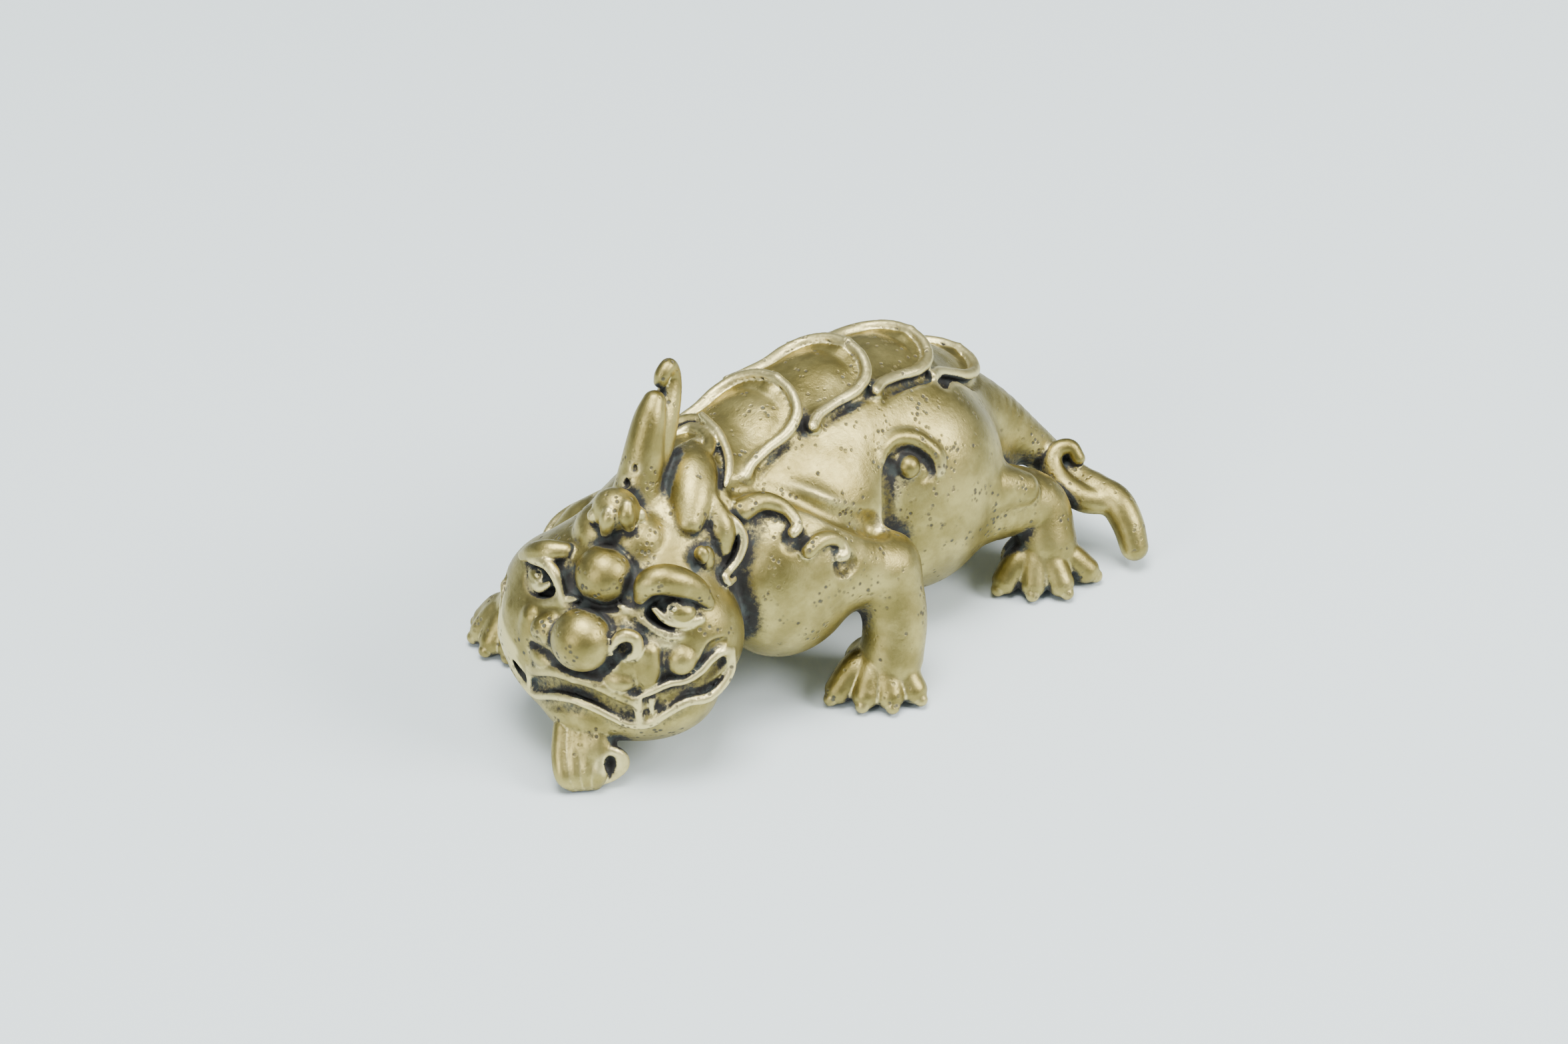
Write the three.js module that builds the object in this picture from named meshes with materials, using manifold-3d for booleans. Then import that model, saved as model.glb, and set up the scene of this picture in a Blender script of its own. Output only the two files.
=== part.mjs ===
// A small cast brass paperweight: a crawling mythical beast with an arched, plated back.
// It was modelled for casting in wax, and this file builds it the same way: pellets and
// tapered rolls are laid on one after another, and hollows are dug out of them.
// Millimetres. The beast looks towards -X, its left side is at -Y, and +Z is up.
import * as THREE from 'three';
import * as BufferGeometryUtils from 'three/addons/utils/BufferGeometryUtils.js';
import Module from 'manifold-3d';

const wasm = await Module();
wasm.setup();

// Driving sizes
const headPlace = [-22.9, -2.0, 15.0];   // middle of the head, above the ground under the beast
const headTurn = 18;                     // degrees that the head turns to its own left
const groundDepth = 4;                   // how far the block reaches that trims the soles flat
const middleOfFootprint = [1.35, 0.2];    // moved to the origin at the end
const fineness = 0.93;                     // more sides on every form when raised
const brass = { color: 0x8f7a3c, roughness: 0.42, metalness: 0.9 };

const degrees = THREE.MathUtils.degToRad;
const sides = [-1, 1];

// The forms are placed in the frame that is current, which is the beast's or its head's.
const beastFrame = new THREE.Matrix4();
const headFrame = new THREE.Matrix4().makeRotationZ(degrees(180 + headTurn)).setPosition(...headPlace);
let frame = beastFrame;
let beast = null;

function solidOf(geometry) {
  const bare = geometry.clone();
  bare.deleteAttribute('normal');
  bare.deleteAttribute('uv');
  const merged = BufferGeometryUtils.mergeVertices(bare, 1e-4);
  const corners = merged.index.array;
  const triangles = [];
  for (let i = 0; i < corners.length; i += 3) {
    const [a, b, c] = [corners[i], corners[i + 1], corners[i + 2]];
    if (a !== b && b !== c && c !== a) triangles.push(a, b, c);
  }
  const mesh = new wasm.Mesh({
    numProp: 3,
    vertProperties: new Float32Array(merged.attributes.position.array),
    triVerts: new Uint32Array(triangles),
  });
  return new wasm.Manifold(mesh);
}

function lay(solid) {
  beast = beast ? beast.add(solid) : solid;
}

function dig(solid) {
  beast = beast.subtract(solid);
}

function sidesFor(radius) {
  return Math.max(5, Math.round(fineness * (3.4 + 2.4 * Math.sqrt(radius))));
}

// A pellet is a ball pressed to three radii along the axes of the current frame.
function pellet(centre, radii) {
  const size = new THREE.Vector3(...(Array.isArray(radii) ? radii : [radii, radii, radii]));
  const around = sidesFor(Math.cbrt(size.x * size.y * size.z));
  const ball = new THREE.SphereGeometry(1, around, Math.round(around / 2));
  ball.rotateX(Math.PI / 2);
  ball.scale(size.x, size.y, size.z);
  ball.translate(...centre);
  ball.applyMatrix4(frame);
  return solidOf(ball);
}

// A roll is a lathed bar with round ends, bent along a smooth line through the points.
// Each point has its own radius, and steps is the number of rings for each stretch.
function roll(points, radii, steps = 1) {
  const line = new THREE.CatmullRomCurve3(points.map((p) => new THREE.Vector3(...p)), false, 'catmullrom', 0.5);
  const girth = new THREE.CatmullRomCurve3(radii.map((r) => new THREE.Vector3(r, 0, 0)), false, 'catmullrom', 0.5);
  const stretches = points.length - 1;
  const rings = Math.round(stretches * steps);
  const around = sidesFor(Math.max(...radii));
  const widest = Math.max(...radii);
  const capRings = widest > 4 ? 3 : widest > 1.1 ? 2 : 1;
  const stations = [];
  for (let k = 0; k <= capRings; k += 1) {
    const lean = (Math.PI / 2) * (k / capRings);
    stations.push({ t: 0, along: -Math.cos(lean), girth: Math.sin(lean) });
  }
  for (let k = 1; k < rings; k += 1) stations.push({ t: k / rings, along: 0, girth: 1 });
  for (let k = capRings; k >= 0; k -= 1) {
    const lean = (Math.PI / 2) * (k / capRings);
    stations.push({ t: 1, along: Math.cos(lean), girth: Math.sin(lean) });
  }
  const profile = stations.map((s, k) => new THREE.Vector2(s.girth < 1e-6 ? 0 : 1, k));
  const bar = new THREE.LatheGeometry(profile, around);

  // The bar is bent by carrying one crosswise direction along the line without twist.
  let across = null;
  const places = stations.map((s) => {
    const tangent = line.getTangent(s.t);
    if (!across) {
      const steepest = Math.abs(tangent.z) < 0.8 ? new THREE.Vector3(0, 0, 1) : new THREE.Vector3(1, 0, 0);
      across = new THREE.Vector3().crossVectors(steepest, tangent).normalize();
    }
    across = across.clone().addScaledVector(tangent, -across.dot(tangent)).normalize();
    const radius = Math.max(0.05, girth.getPoint(s.t).x);
    return {
      centre: line.getPoint(s.t).addScaledVector(tangent, s.along * radius),
      across,
      over: new THREE.Vector3().crossVectors(tangent, across),
      radius: radius * s.girth,
    };
  });
  const position = bar.attributes.position;
  const point = new THREE.Vector3();
  for (let i = 0; i < position.count; i += 1) {
    const place = places[Math.round(position.getY(i))];
    point.copy(place.centre);
    point.addScaledVector(place.across, position.getX(i) * place.radius);
    point.addScaledVector(place.over, -position.getZ(i) * place.radius);
    position.setXYZ(i, point.x, point.y, point.z);
  }
  bar.applyMatrix4(frame);
  return solidOf(bar);
}

const even = (count, radius) => new Array(count).fill(radius);

// A line drawn from the middle to the left is carried on to the right.
const bothWays = (line) => [...line.slice(1).reverse().map(([a, b, c]) => [a, -b, c]), ...line];

// Trunk, neck and the big masses of shoulders, flanks and haunches
function body() {
  lay(roll([[-16, -1, 19], [-8, 0, 19], [0, 0, 18.5], [8, 0, 18.5], [16, 0, 16.5], [22, 0, 13.5], [27, -1, 10.5]],
    [7.5, 8.5, 9.5, 10, 9.5, 8.5, 6.5]));
  lay(roll([[-12, -1, 20], [-20, -1.5, 16.5]], [7.5, 8]));
  lay(pellet([2, -5, 17], [8, 7, 7]));
  lay(pellet([2, 5, 16], [8, 6.5, 7]));
  lay(pellet([-5.8, -8, 14.2], [8.6, 7, 9.2]));
  lay(pellet([-10, 7, 12], [8, 6.5, 8]));
  lay(pellet([15, -5.5, 13], [10.5, 8.5, 11.5]));
  lay(pellet([13, -3, 20], [9, 6, 6]));
  lay(pellet([14, 5, 12.5], [10.5, 8, 11]));
}

// A paw is a pad with four toes fanned about its heading, each ending in a pearl claw.
function paw([x, y], heading, spread, reach) {
  lay(pellet([x, y, 2.0], [3.8, 3.8, 2.6]));
  reach.forEach((length, i) => {
    const turn = degrees(heading + spread * (i - 1.5));
    frame = new THREE.Matrix4().makeRotationZ(turn).setPosition(x, y, 0);
    lay(pellet([length * 0.55, 0, 2.0], [length * 0.45 + 1.4, 1.6, 2.1]));
    lay(pellet([length + 0.7, 0, 0.75], 0.9));
  });
  frame = beastFrame;
}

function legs() {
  lay(roll([[-3, -10.5, 15], [2.6, -13, 12.6]], [5, 3.8]));
  lay(roll([[2.6, -13.2, 12.6], [2.4, -15.2, 8], [1.3, -16, 4]], [3.8, 3.3, 3.2], 2));
  paw([1.2, -14.4], -138, 31, [5.4, 4.6, 4.6, 4.8]);

  lay(roll([[20, -9, 10], [26.5, -12, 8.2], [26.5, -14, 4.5]], [4.5, 3.3, 3.2], 2));
  lay(roll([[20, -11, 13], [23.5, -13, 12]], [3, 1.8]));
  paw([25.6, -13.4], -119, 43, [4.2, 3.4, 4.1, 5.3]);

  lay(roll([[-12, 10, 12], [-18.5, 13, 8], [-19.5, 15.7, 4]], [4.5, 3.6, 3.0], 2));
  paw([-19.2, 16.6], 165, 30, [3.8, 4.0, 4.0, 3.8]);

  lay(roll([[18, 8.5, 10], [20.5, 12.5, 7], [18.5, 14.5, 4]], [4.8, 3.6, 3.2], 2));
  paw([18, 15], 130, 30, [4.6, 4.8, 4.8, 4.6]);
}

// Four overlapping plates along the spine. Each is a dome inside a thick edge, with a
// proud rim that sweeps forward to a point on either side. Places are of the rim's top.
function plates() {
  const spine = [[1.0, 29.9, 21, 1], [11.0, 29.6, 10, 1], [20.2, 26.9, -4, 1], [27.6, 21.4, -22, 0.95]];
  const rim = bothWays([[0, 0, 0], [-0.6, 2.7, -0.4], [-2.6, 4.7, -0.9], [-6.6, 5.0, -0.6], [-11.4, 6.2, -0.2]]);
  const rimRadii = [0.35, 0.65, 0.7, 0.65, 0.6, 0.65, 0.7, 0.65, 0.35];
  for (const [x, z, pitch, size] of spine) {
    frame = new THREE.Matrix4().makeRotationY(degrees(-pitch)).setPosition(x, 0, z)
      .multiply(new THREE.Matrix4().makeScale(size, size, size));
    lay(pellet([-4.9, 0, -5.0], [6.2, 5.4, 5.2]));
    lay(roll(rim.map(([a, b, c]) => [a - 0.8, b * 0.86, c - 1.3]), [0.6, ...even(7, 1.35), 0.6]));
    lay(roll(rim, rimRadii));
  }
  frame = beastFrame;
  lay(roll([[-7.6, 1.8, 28.6], [-8.2, -0.9, 28.4], [-8.9, -2.6, 28.0], [-9.8, -4.2, 27.5], [-11.0, -5.4, 27.0],
    [-12.2, -6.2, 26.4]], [0.45, 0.55, 0.55, 0.55, 0.5, 0.35]));
}

// Cloud scrolls and creases on the left shoulder and haunch
function scrolls() {
  dig(roll([[-11, -6.6, 25.6], [-8.0, -7.6, 24.9], [-5.8, -9.0, 23.6], [-3.2, -11.2, 21.4], [-0.6, -12.4, 19.6],
    [2.2, -12.6, 17.6]], [0.8, 1.0, 1.2, 1.2, 1.3, 1.4]));
  dig(pellet([-9.0, -12.4, 21.8], [1.7, 1.2, 1.7]));
  dig(pellet([-4.4, -15.1, 17.6], [1.5, 1.1, 1.3]));
  lay(roll([[-11.5, -7.6, 23.8], [-9.3, -8.2, 24.1], [-8.0, -9.6, 23.6], [-7.8, -11.0, 23.0], [-8.1, -11.9, 22.3],
    [-8.8, -12.1, 22.1]], [1.2, 1.0, 0.8, 0.65, 0.6, 0.6]));
  lay(roll([[-8.0, -13.4, 20.2], [-6.6, -13.4, 20.6], [-5.1, -13.6, 20.3], [-4.2, -14.1, 19.4], [-4.3, -14.7, 18.5],
    [-5.0, -14.6, 18.6]], [0.8, 0.8, 0.75, 0.65, 0.6, 0.6]));
  dig(roll([[-1.2, -16.2, 11.6], [-2.6, -15.0, 8.6], [-4.2, -13.2, 5.4]], [0.35, 0.6, 0.8]));

  dig(roll([[7.2, -9.6, 21.3], [5.9, -10.6, 19.2], [5.4, -11.4, 16.4], [5.2, -12.0, 13.6], [6.4, -12.2, 10]],
    [0.7, 1.0, 1.2, 1.3, 1.3]));
  dig(roll([[7.6, -9.9, 21.3], [8.2, -9.8, 21.8], [9.6, -9.9, 21.8], [11.0, -10.9, 20.8], [11.2, -11.9, 19.5],
    [10.1, -11.9, 18.9]], [0.45, 0.45, 0.5, 0.5, 0.5, 0.35]));
  lay(pellet([9.1, -10.4, 20.4], 1.25));
  lay(roll([[6.4, -9.0, 22.0], [7.4, -8.7, 22.9], [9.0, -8.7, 23.1], [11.0, -9.6, 22.4], [12.2, -11.2, 20.8],
    [12.0, -12.0, 19.3]], [0.6, 0.8, 0.85, 0.85, 0.8, 0.5]));
  lay(roll([[19.2, -9.2, 19.8], [20.8, -10.4, 17.8], [20.6, -11.6, 16.0], [19.3, -12.0, 15.6], [18.9, -11.6, 16.8],
    [19.4, -11.3, 17.3]], [0.5, 0.6, 0.6, 0.6, 0.55, 0.5]));
}

// The tail falls from under the last plate to the left, with a scroll and a rounded tip.
function tail() {
  lay(roll([[22, -0.5, 15.5], [27.2, -3, 15.0], [31.8, -6, 10.6], [34.0, -8, 7.9], [34.4, -10.6, 7.2],
    [34.6, -13.2, 6.8]], [5.5, 3.6, 2.4, 1.9, 1.6, 1.6]));
  lay(roll([[34.6, -13.2, 6.8], [34.9, -16, 6.3], [34.8, -18, 4.5], [34.4, -19.4, 2.4]], [1.6, 1.8, 1.7, 1.5]));
  lay(roll([[34, -15.5, 6.3], [32.6, -13.5, 6.6], [32.0, -11, 7.6], [32.2, -9.4, 9.1], [33.2, -9.2, 10.3],
    [34.4, -10, 10.5], [34.6, -10.9, 9.4]], [1.3, 1.5, 1.4, 1.2, 0.95, 0.85, 0.85]));
}

// The head in its own frame: forward, to its left, up
function skull() {
  lay(pellet([-1, 0, 0.8], [7.2, 10.8, 7.6]));
  for (const side of sides) lay(pellet([-1, side * 8.2, -1.2], [5, 4.5, 5.6]));
  lay(pellet([2.5, 0, -1.5], [6, 8.5, 4.8]));
  lay(pellet([0.8, 0, -6.4], [7.4, 11.0, 6.8]));
  lay(pellet([4.5, -0.5, -8.2], [4.3, 5, 3.6]));
}

function forehead() {
  for (const side of sides) lay(pellet([-1.2, side * 1.9, 8.2], [3.2, 2.9, 2.7]));
  lay(pellet([2.3, 0, 5.4], 2.8));
  lay(pellet([-0.2, 0, 11.0], [1.95, 1.95, 2.7]));
  for (const side of sides) {
    lay(pellet([0.9, side * 0.75, 11.2], [0.9, 0.8, 1.2]));
    lay(pellet([0.1, side * 1.8, 11.1], 0.95));
  }
}

function eyes() {
  for (const side of sides) {
    dig(pellet([3.4, side * 7.6, 4.0], [1.6, 2.4, 1.5]));
    lay(pellet([2.2, side * 7.6, 4.1], [1.6, 1.9, 1.35]));
    lay(roll([[4.0, side * 4.0, 5.0], [3.4, side * 4.9, 6.2], [2.8, side * 6.0, 7.0], [1.8, side * 7.4, 7.2],
      [0.8, side * 8.8, 6.5], [0.2, side * 10, 5.2]], [0.9, 1.2, 1.35, 1.35, 1.1, 0.7]));
  }
}

function nose() {
  for (const side of sides) {
    lay(pellet([5.9, side * 3.9, 1.5], [2.2, 1.6, 1.7]));
    lay(pellet([6.9, side * 4.6, 1.6], 1.3));
    dig(pellet([8.1, side * 4.5, 1.1], 0.65));
  }
  lay(pellet([7.6, 0, 1.5], [3, 3.1, 3.1]));
}

function mouth() {
  for (const side of sides) {
    lay(pellet([2.7, side * 8.4, -0.8], [2.2, 2.2, 1.9]));
    lay(pellet([5.2, side * 5.6, -0.8], [1.9, 1.9, 2.1]));
    lay(roll([[7.6, side * 1.6, -2.0], [6.9, side * 4.2, -2.6]], [1.2, 1.3]));
  }
  const slit = bothWays([[8.5, 0, -4.1], [7.5, 4.6, -5.6], [5.0, 7.9, -5.0], [1.2, 11.9, -2.7]]);
  const upperLip = bothWays([[8.6, 0, -2.9], [7.4, 4.6, -3.6], [4.4, 8.7, -3.7], [0.6, 11.8, -1.2]]);
  const lowerLip = bothWays([[8.5, 0, -5.3], [6.5, 5.7, -7.6], [5.0, 8.0, -6.0], [1.2, 10.8, -5.2],
    [-0.4, 12.0, -2.6]]);
  dig(roll(slit, even(slit.length, 0.85)));
  lay(roll(upperLip, even(upperLip.length, 0.65)));
  lay(roll(lowerLip, even(lowerLip.length, 0.7)));
  for (const side of sides) lay(roll([[6.9, side * 5.3, -4.2], [6.4, side * 5.6, -7.2]], [0.6, 0.45]));
}

// Five locks side by side, and one that curls round to the left
function beard() {
  const locks = 5;
  for (let i = 0; i < locks; i += 1) {
    const t = i / ((locks - 1) / 2) - 1;
    lay(roll([[8.0, 0.5 + 2.0 * t, -9.6], [9.5 - 0.6 * t, 0.8 + 2.5 * t, -12.0],
      [9.8 - 0.8 * t, 1.2 + 1.7 * t, -13.7]], [0.8, 0.9, 0.65]));
  }
  lay(roll([[7.3, 3.4, -10.6], [7.3, 4.2, -11.8], [7.8, 4.1, -12.9], [8.5, 3.4, -13.0], [8.5, 3.0, -12.3]],
    [0.7, 0.65, 0.6, 0.55, 0.5]));
  lay(pellet([7.6, 0.9, -11.6], [1.8, 2.8, 2.6]));
}

// The left ear stands up as a leaf with a rolled rim and a curled tip. The right one
// lies back against the neck.
function ears() {
  lay(roll([[-6.9, 6.8, 10.6], [-6.2, 8.2, 8.4], [-5.6, 8.6, 6.6]], [0.8, 1.4, 1.0]));
  lay(roll([[-7.2, 6.7, 11.4], [-6.8, 8.1, 9.9], [-7.2, 9.5, 8.4], [-7.1, 10.1, 6.9], [-6.2, 10.1, 5.6],
    [-4.8, 9.8, 4.8], [-3.7, 9.8, 4.7], [-3.8, 10.1, 4.0], [-5.0, 10.1, 3.7]],
  [0.35, 0.5, 0.55, 0.6, 0.55, 0.5, 0.5, 0.5, 0.4]));
  lay(pellet([-3.0, 8.3, 6.4], [1.0, 0.9, 1.9]));
  lay(roll([[-7.2, -4.6, 6.0], [-6.9, -7.2, 4.2], [-5.8, -9.2, 2.6]], [1.4, 1.9, 1.2]));
  lay(roll([[-7.4, -4.2, 8.2], [-7.6, -5.7, 7.1], [-7.9, -7.8, 5.2], [-7.6, -9.5, 3.8], [-6.6, -10.5, 2.8],
    [-5.0, -10.6, 2.2], [-3.8, -9.9, 2.0]], [0.45, 0.55, 0.6, 0.65, 0.65, 0.6, 0.5]));
}

// One forked horn: a pitted front prong, and a rear prong curled over at its tip
function horn() {
  lay(roll([[-4.0, 0, 8.5], [-5.2, 0, 12], [-6.2, 0, 15.5], [-7.2, 0, 17.8], [-8.2, 0, 19.3]],
    [3.0, 2.4, 1.9, 1.6, 1.15]));
  lay(roll([[-6.4, 0.3, 12.5], [-8.8, 0.3, 16.4], [-10.6, 0.3, 18.8], [-11.4, 0.3, 20.6], [-10.9, 0.2, 21.9],
    [-10.0, 0, 21.4], [-9.9, -0.2, 20.6]], [2.0, 1.7, 1.25, 0.85, 0.8, 0.8, 0.7]));
}

// A lock of mane lies on the neck beside the horn, under a scroll.
function mane() {
  lay(roll([[-17.2, -6.3, 24.6], [-15.4, -4.7, 25.4], [-13.6, -2.9, 26.3], [-12.2, -1.4, 26.6]],
    [1.4, 2.4, 2.7, 2.2]));
  lay(roll([[-11.1, 3.0, 27.0], [-9.8, 2.7, 27.2], [-8.7, 2.1, 27.5], [-8.9, 0.1, 27.9], [-9.8, -1.6, 27.9],
    [-11.1, -2.4, 27.9], [-12.0, -2.0, 28.0], [-11.5, -0.7, 28.1], [-10.4, -0.6, 28.0]],
  [0.4, 0.55, 0.65, 0.7, 0.75, 0.75, 0.7, 0.6, 0.5]));
  lay(roll([[-9.2, 4.9, 26.6], [-7.9, 3.9, 27.1], [-7.3, 2.6, 27.4], [-7.4, 0.9, 27.6]], [0.5, 0.7, 0.7, 0.5]));
}

body();
legs();
plates();
scrolls();
tail();
frame = headFrame;
skull();
forehead();
eyes();
nose();
mouth();
beard();
ears();
horn();
frame = beastFrame;
mane();

// The soles are filed flat on one plane.
const ground = new THREE.BoxGeometry(120, 80, groundDepth);
ground.translate(0, 0, -groundDepth / 2);
dig(solidOf(ground));

const skin = beast.getMesh();
const geometry = new THREE.BufferGeometry();
geometry.setAttribute('position', new THREE.BufferAttribute(new Float32Array(skin.vertProperties), 3));
geometry.setIndex(new THREE.BufferAttribute(new Uint32Array(skin.triVerts), 1));
geometry.computeVertexNormals();

const figure = new THREE.Mesh(geometry, new THREE.MeshStandardMaterial(brass));
figure.name = 'mythical_beast';
figure.position.set(-middleOfFootprint[0], -middleOfFootprint[1], 0);

const paperweight = new THREE.Group();
paperweight.add(figure);
export default paperweight;
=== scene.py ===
import math

import bpy
import numpy as np
from mathutils import Matrix, Vector


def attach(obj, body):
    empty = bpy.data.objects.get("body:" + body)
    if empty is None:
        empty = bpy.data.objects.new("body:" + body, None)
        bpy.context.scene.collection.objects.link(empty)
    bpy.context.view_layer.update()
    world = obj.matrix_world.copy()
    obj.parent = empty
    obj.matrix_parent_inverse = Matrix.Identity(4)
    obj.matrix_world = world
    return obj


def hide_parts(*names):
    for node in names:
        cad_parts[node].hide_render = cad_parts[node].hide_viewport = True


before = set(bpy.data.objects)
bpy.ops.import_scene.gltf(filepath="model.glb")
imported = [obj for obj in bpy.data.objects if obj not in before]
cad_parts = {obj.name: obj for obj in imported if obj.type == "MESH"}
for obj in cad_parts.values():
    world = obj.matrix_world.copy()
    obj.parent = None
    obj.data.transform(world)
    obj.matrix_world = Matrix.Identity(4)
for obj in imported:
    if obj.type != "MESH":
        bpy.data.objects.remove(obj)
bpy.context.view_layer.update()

# The casting. It is one piece of lost-wax brass: pellets and tapered rolls of wax were laid on
# and smoothed together, hollows were dug with a spatula, and the metal was poured in its place.
# The wax is held as depths below its surface, on planes in millimetres over the footprint.
middle = np.array([1.35, 0.2, 0.0])
coarse = 1.0


def planes(low, high, fine_to, fine, wide):
    """Cutting planes that stand close together up to fine_to and widen slowly beyond it."""
    cuts = [low]
    step = fine * coarse
    while cuts[-1] < high:
        if cuts[-1] > fine_to:
            step = min(wide * coarse, step * 1.03)
        cuts.append(cuts[-1] + step)
    return np.array(cuts, np.float32)


across = [planes(-36.5, 38.2, -13.0, 0.2, 0.28), planes(-22.6, 23.2, 40.0, 0.24, 0.24),
          planes(-0.9, 39.2, 40.0, 0.24, 0.24)]
wax = np.full([len(cuts) for cuts in across], 9.0, np.float32)
axes = np.eye(3)
at = np.zeros(3)


def set_down(origin=(0, 0, 0), rows=((1, 0, 0), (0, 1, 0), (0, 0, 1))):
    """Chooses where the next pieces of wax are measured from, and along which directions."""
    global axes, at
    at = np.asarray(origin, float)
    axes = np.asarray(rows, float)


def patch(low, high, margin):
    """The part of the planes that a piece of wax can touch."""
    found = []
    for cuts, a, b in zip(across, low, high):
        first = max(0, int(np.searchsorted(cuts, a - margin)) - 1)
        last = min(len(cuts), int(np.searchsorted(cuts, b + margin)) + 1)
        found.append(slice(first, max(first, last)))
    return tuple(found)


def spread(where):
    """Coordinates of a patch, one array for each direction."""
    return [across[0][where[0]][:, None, None], across[1][where[1]][None, :, None],
            across[2][where[2]][None, None, :]]


def press(where, piece, soft, dig):
    """Joins a piece to the wax, or digs it out, with a seam smoothed over the width soft."""
    here = wax[where]
    if dig:
        piece = -piece
        share = np.clip(0.5 - 0.5 * (here - piece) / soft, 0, 1)
        wax[where] = here * (1 - share) + piece * share + soft * share * (1 - share)
    else:
        share = np.clip(0.5 + 0.5 * (here - piece) / soft, 0, 1)
        wax[where] = here * (1 - share) + piece * share - soft * share * (1 - share)


def pellet(centre, radii, soft=0.4, dig=False):
    """A ball of wax pressed to three radii."""
    radii = np.broadcast_to(np.asarray(radii, float), (3,))
    centre = at + np.asarray(centre, float) @ axes
    half = np.sqrt(((axes * radii[:, None]) ** 2).sum(0))
    where = patch(centre - half, centre + half, soft + 1.5)
    x, y, z = [g - np.float32(c) for g, c in zip(spread(where), centre)]
    near = 0
    steep = 0
    for row, radius in zip(axes, radii):
        q = x * np.float32(row[0]) + y * np.float32(row[1]) + z * np.float32(row[2])
        near = near + (q / np.float32(radius)) ** 2
        steep = steep + (q / np.float32(radius ** 2)) ** 2
    near = np.sqrt(near)
    press(where, near * (near - 1) / np.maximum(np.sqrt(steep), 1e-6), soft, dig)


def smooth_line(points, per_stretch):
    """More points on the smooth line through the given ones."""
    p = np.asarray(points, float)
    p = np.vstack([2 * p[0] - p[1], p, 2 * p[-1] - p[-2]])
    line = []
    for a, b, c, d in zip(p, p[1:], p[2:], p[3:]):
        for t in np.arange(per_stretch) / per_stretch:
            line.append(0.5 * (2 * b + (c - a) * t + (2 * a - 5 * b + 4 * c - d) * t ** 2
                               + (3 * b - a - 3 * c + d) * t ** 3))
    line.append(p[-2])
    return np.array(line)


def roll(points, radii, soft=0.4, dig=False, per_stretch=6):
    """A tapered roll of wax laid along a smooth line, with a radius at each point."""
    points = at + np.asarray(points, float) @ axes
    radii = np.broadcast_to(np.asarray(radii, float), (len(points),))
    line = smooth_line(np.hstack([points, radii[:, None]]), per_stretch)
    widest = line[:, 3].max()
    margin = soft + 1.5
    where = patch(line[:, :3].min(0) - widest, line[:, :3].max(0) + widest, margin)
    piece = np.full([w.stop - w.start for w in where], 9.0, np.float32)
    for a, b in zip(line, line[1:]):
        low = np.minimum(a[:3] - a[3], b[:3] - b[3])
        high = np.maximum(a[:3] + a[3], b[:3] + b[3])
        near = patch(low, high, margin)
        x, y, z = [g - np.float32(c) for g, c in zip(spread(near), a)]
        v = b[:3] - a[:3]
        t = np.clip((x * v[0] + y * v[1] + z * v[2]) / max(float(v @ v), 1e-9), 0, 1)
        gap = np.sqrt((x - t * v[0]) ** 2 + (y - t * v[1]) ** 2 + (z - t * v[2]) ** 2)
        gap = gap - (a[3] + t * (b[3] - a[3]))
        inside = tuple(slice(n.start - w.start, n.stop - w.start) for n, w in zip(near, where))
        piece[inside] = np.minimum(piece[inside], gap.astype(np.float32))
    press(where, piece, soft, dig)


# Trunk, neck and flanks are the first big masses, then shoulders and haunches on each side.
sides = (-1, 1)
roll([[-16, -1, 19], [-8, 0, 19], [0, 0, 18.5], [8, 0, 18.5], [16, 0, 16.5], [22, 0, 13.5], [27, -1, 10.5]],
     [7.5, 8.5, 9.5, 10, 9.5, 8.5, 6.5], 2)
roll([[-12, -1, 20], [-20, -1.5, 16.5]], [7.5, 8], 2)
pellet([2, -5, 17], [8, 7, 7], 2)
pellet([2, 5, 16], [8, 6.5, 7], 2)
pellet([-5.8, -8, 14.2], [8.6, 7, 9.2], 1.5)
roll([[-3, -10.5, 15], [2.6, -13, 12.6]], [5, 3.8], 1.5)
pellet([15, -5.5, 13], [10.5, 8.5, 11.5], 1.5)
pellet([13, -3, 20], [9, 6, 6], 2)
pellet([-10, 7, 12], [8, 6.5, 8], 2)
pellet([14, 5, 12.5], [10.5, 8, 11], 2)


# Each paw is a pad and four toes pressed on in a fan, each toe ending in a round pearl claw.
def paw(x, y, heading, fan, lengths):
    pellet([x, y, 2.4], [3.6, 3.6, 2.4], 1)
    for i, length in enumerate(lengths):
        turn = math.radians(heading + fan * (i - 1.5))
        out = lambda far, z: [x + math.cos(turn) * far, y + math.sin(turn) * far, z]
        roll([out(1.2, 3.4), out(length * 0.62, 3.1), out(length, 1.5)], [1.6, 1.6, 1.45], 0.35)
        pellet(out(length + 1.1, 0.85), 0.75, 0.1)


roll([[2.6, -13.2, 12.6], [2.4, -15.2, 8], [1.3, -16, 4]], [3.8, 3.3, 3.2], 1)
paw(1.2, -14.4, -138, 31, [5.4, 4.6, 4.6, 4.8])
roll([[20, -9, 10], [26.5, -12, 8.2], [26.5, -14, 4.5]], [4.5, 3.3, 3.2], 1)
roll([[20, -11, 13], [23.5, -13, 12]], [3, 1.8], 0.8)
paw(25.6, -13.4, -119, 43, [4.2, 3.4, 4.1, 5.3])
roll([[-12, 10, 12], [-18.5, 13, 8], [-19.5, 15.7, 4]], [4.5, 3.6, 3.0], 1)
paw(-19.2, 16.6, 165, 30, [3.8, 4.0, 4.0, 3.8])
roll([[18, 8.5, 10], [20.5, 12.5, 7], [18.5, 14.5, 4]], [4.8, 3.6, 3.2], 1)
paw(18, 15, 130, 30, [4.6, 4.8, 4.8, 4.6])

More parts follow.
